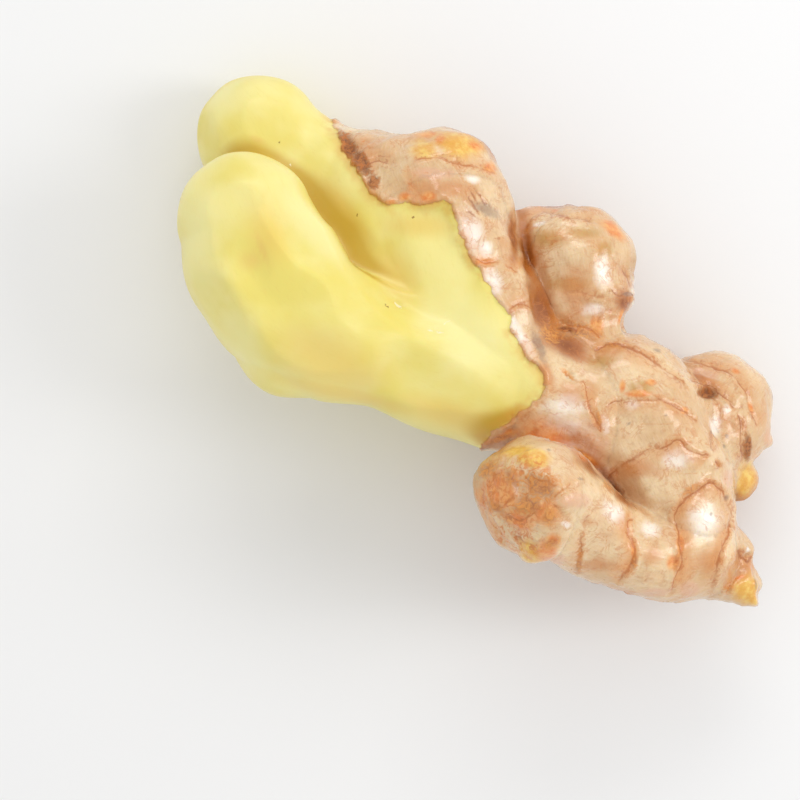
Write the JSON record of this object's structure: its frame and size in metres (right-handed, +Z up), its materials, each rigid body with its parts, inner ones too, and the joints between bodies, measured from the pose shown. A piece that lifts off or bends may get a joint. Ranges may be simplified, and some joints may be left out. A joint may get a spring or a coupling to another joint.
{
  "type": "ginger root",
  "caption": "Fresh ginger root lying on its back, with peeled fingers on one side and ringed skin, a round knob and a raised blunt finger on the other.",
  "frame": {"origin": "centre of the bounding box in plan, at the table plane that the root rests on", "axes": "+X from the peeled fingers towards the ringed branch, +Y from the raised blunt finger towards the broad stub, +Z up from the table"},
  "size_m": [0.1582, 0.1424, 0.0692],
  "materials": {
    "ginger": "thin tan skin with a soft gloss and rusty ring lines over moist pale yellow flesh, bare on the peeled fingers"
  },
  "bodies": {
    "root": {"ginger_root": "ginger"}
  },
  "joints": []
}
